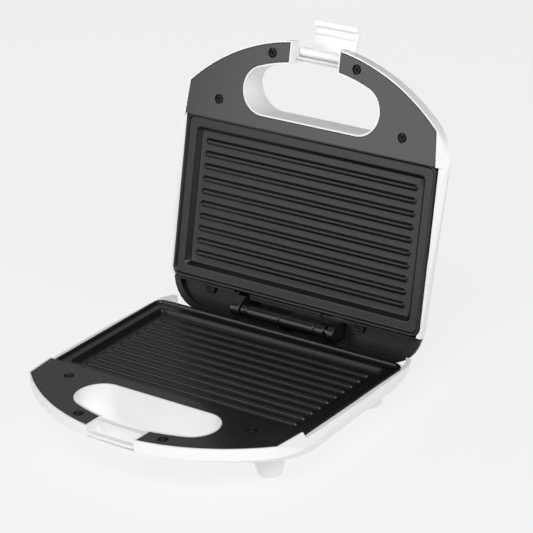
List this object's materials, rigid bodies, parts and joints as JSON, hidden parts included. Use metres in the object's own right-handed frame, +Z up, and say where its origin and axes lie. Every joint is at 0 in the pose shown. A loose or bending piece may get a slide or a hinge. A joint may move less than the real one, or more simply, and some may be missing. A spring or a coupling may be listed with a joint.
{
  "type": "sandwich toaster",
  "caption": "Hinged sandwich toaster with ribbed plates, a D-shaped carrying handle in each half and a swing-over latch clip.",
  "frame": {"origin": "centre of the whole part's box at rest, with the lid open, on the worktop under its feet", "axes": "+X along the hinge to the right as the user faces it, +Y away from the user towards the hinge, +Z up"},
  "size_m": [0.2344, 0.287, 0.246],
  "materials": {
    "white_shell": "satin moulded, white",
    "white_clip": "satin moulded, white",
    "black_trim": "polished moulded, black",
    "non_stick_plate": "cast, black non-stick coating",
    "heater_steel": "heat-tinted tube",
    "reflector_steel": "bright pressed sheet",
    "black_frame": "fine grain moulded, black",
    "black_screw": "black oxide",
    "zinc_screw": "zinc plated",
    "hinge_plastic": "satin moulded, black",
    "pin_steel": "turned",
    "pad_rubber": "matte",
    "gland_plastic": "moulded, black",
    "ivory_insulator": "moulded, ivory",
    "tan_insulator": "fired, tan",
    "red_lens": "clear moulded, red",
    "green_lens": "clear moulded, green"
  },
  "bodies": {
    "base": {"base_shell": "white_shell", "base_trim": "black_trim", "base_plate": "non_stick_plate", "base_heater": "heater_steel", "base_reflector": "reflector_steel", "base_rear_frame": "black_frame", "base_trim_screws": "black_screw", "base_plate_screws": "zinc_screw", "base_frame_screws": "black_screw", "base_hinge_bracket": "hinge_plastic", "base_bracket_screws": "black_screw", "hinge_pin": "pin_steel", "feet": "white_shell", "foot_pads": "pad_rubber", "cord_gland": "gland_plastic", "terminal_block": "ivory_insulator", "thermostat": "tan_insulator"},
    "lid": {"lid_shell": "white_shell", "lid_trim": "black_trim", "lid_plate": "non_stick_plate", "lid_heater": "heater_steel", "lid_reflector": "reflector_steel", "lid_rear_frame": "black_frame", "lid_trim_screws": "black_screw", "lid_plate_screws": "zinc_screw", "lid_frame_screws": "black_screw", "lid_hinge_bracket": "hinge_plastic", "lid_bracket_screws": "black_screw", "lamp_holder": "ivory_insulator", "power_lamp": "red_lens", "ready_lamp": "green_lens", "thermal_fuse": "tan_insulator", "latch_pin": "pin_steel"},
    "latch": {"latch_clip": "white_clip"}
  },
  "joints": [
    {"name": "lid_hinge", "type": "hinge", "parent": "base", "child": "lid", "pos_m": [0, 0.06183, 0.0397], "axis": [1, 0, 0], "range_deg": [0, 104.2]},
    {"name": "latch_hinge", "type": "hinge", "parent": "lid", "child": "latch", "pos_m": [0, 0.12232, 0.22657], "axis": [1, 0, 0], "range_deg": [0, 100]}
  ]
}
